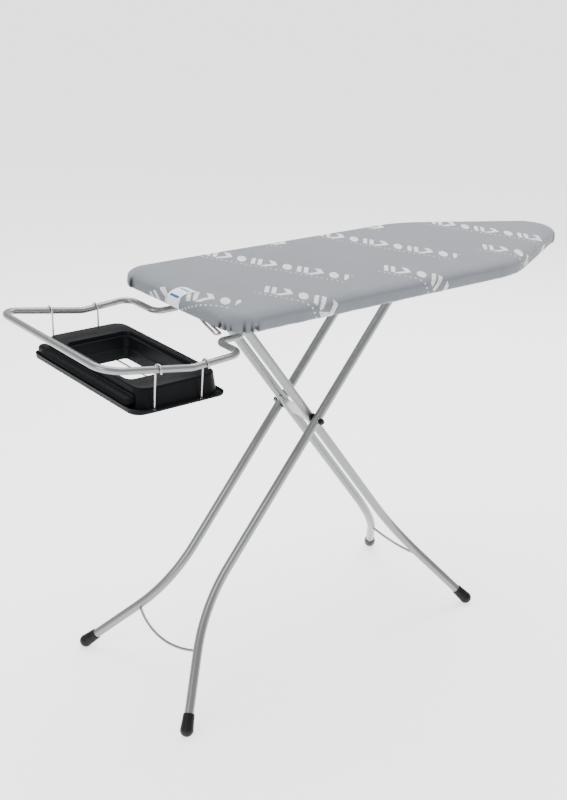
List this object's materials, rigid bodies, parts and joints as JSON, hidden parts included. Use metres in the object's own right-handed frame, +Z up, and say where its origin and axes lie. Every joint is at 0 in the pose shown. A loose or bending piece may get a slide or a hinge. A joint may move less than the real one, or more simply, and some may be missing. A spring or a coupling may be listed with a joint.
{
  "type": "ironing board",
  "caption": "Folding ironing board: padded grey cover on a mesh top, crossed tube legs with braces and foot caps, sliding height catch, and a bent tube rest with a tray for a steam iron.",
  "frame": {"origin": "on the floor, under the middle of the overall outline, with the legs in their highest position", "axes": "+X from the blunt tail to the nose, +Y to the left seen from the tail, +Z up"},
  "size_m": [1.5559, 0.477, 0.986],
  "materials": {
    "silver_coat": "satin silver powder coat on steel tube",
    "zinc_sheet": "dull zinc-plated sheet steel",
    "bright_steel": "bright drawn steel",
    "spring_wire": "polished round steel wire",
    "black_plastic": "black moulded plastic, fine grain",
    "tray_plastic": "charcoal heat-proof moulded plastic, satin",
    "nylon": "natural white nylon",
    "cover_cotton": null,
    "pad_felt": "off-white needled felt on foam",
    "draw_cord": "braided cotton cord",
    "tag_weave": "white woven tape with plain blue stripes"
  },
  "bodies": {
    "board": {"mesh_top": "zinc_sheet", "rim_frame": "zinc_sheet", "cover_pad": "pad_felt", "cover": "cover_cotton", "hem_cord": "draw_cord", "cover_tag": "tag_weave", "tail_cross_member": "zinc_sheet", "hinge_cross_member": "zinc_sheet", "middle_cross_member": "zinc_sheet", "rear_rail_cross_member": "zinc_sheet", "front_rail_cross_member": "zinc_sheet", "guide_rail_left": "zinc_sheet", "guide_rail_right": "zinc_sheet", "hinge_bracket_left": "zinc_sheet", "hinge_bracket_right": "zinc_sheet", "hinge_axle": "bright_steel", "axle_caps": "bright_steel", "frame_screws": "bright_steel", "rest_loop": "silver_coat", "rest_loop_plugs": "black_plastic", "rest_loop_clamps": "zinc_sheet", "tail_cradle_wire": "spring_wire", "board_cradle_wire": "spring_wire", "iron_tray": "tray_plastic"},
    "inner_legs": {"inner_leg_left": "silver_coat", "inner_leg_right": "silver_coat", "inner_foot_cap_left": "black_plastic", "inner_foot_cap_right": "black_plastic", "inner_brace": "silver_coat", "hinge_sleeve": "silver_coat", "saddle_plate": "silver_coat", "pivot_axle": "bright_steel", "pivot_spacers": "black_plastic", "pivot_washers": "bright_steel", "pivot_cap_nuts": "black_plastic"},
    "outer_legs": {"outer_leg_left": "silver_coat", "outer_leg_right": "silver_coat", "outer_foot_cap_left": "black_plastic", "outer_foot_cap_right": "black_plastic", "outer_brace": "silver_coat", "crossbar": "silver_coat", "slide_roller_left": "nylon", "slide_roller_right": "nylon", "outer_tube_plugs": "black_plastic"},
    "height_lever": {"release_rod": "spring_wire", "height_comb": "zinc_sheet", "return_spring": "spring_wire"}
  },
  "joints": [
    {"name": "leg_fold", "type": "hinge", "parent": "board", "child": "inner_legs", "pos_m": [-0.3395, 0, 0.93723], "axis": [0, -1, 0], "range_deg": [0, 42]},
    {"name": "outer_leg_swing", "type": "hinge", "parent": "inner_legs", "child": "outer_legs", "pos_m": [-0.08715, 0, 0.61919], "axis": [0, -1, 0], "range_deg": [-84, 0]},
    {"name": "height_catch", "type": "hinge", "parent": "board", "child": "height_lever", "pos_m": [0, 0.05, 0.958], "axis": [1, 0, 0], "range_deg": [0, 9]}
  ],
  "couplings": [
    {"joint": "outer_leg_swing", "follows": "leg_fold", "ratio": -2}
  ]
}
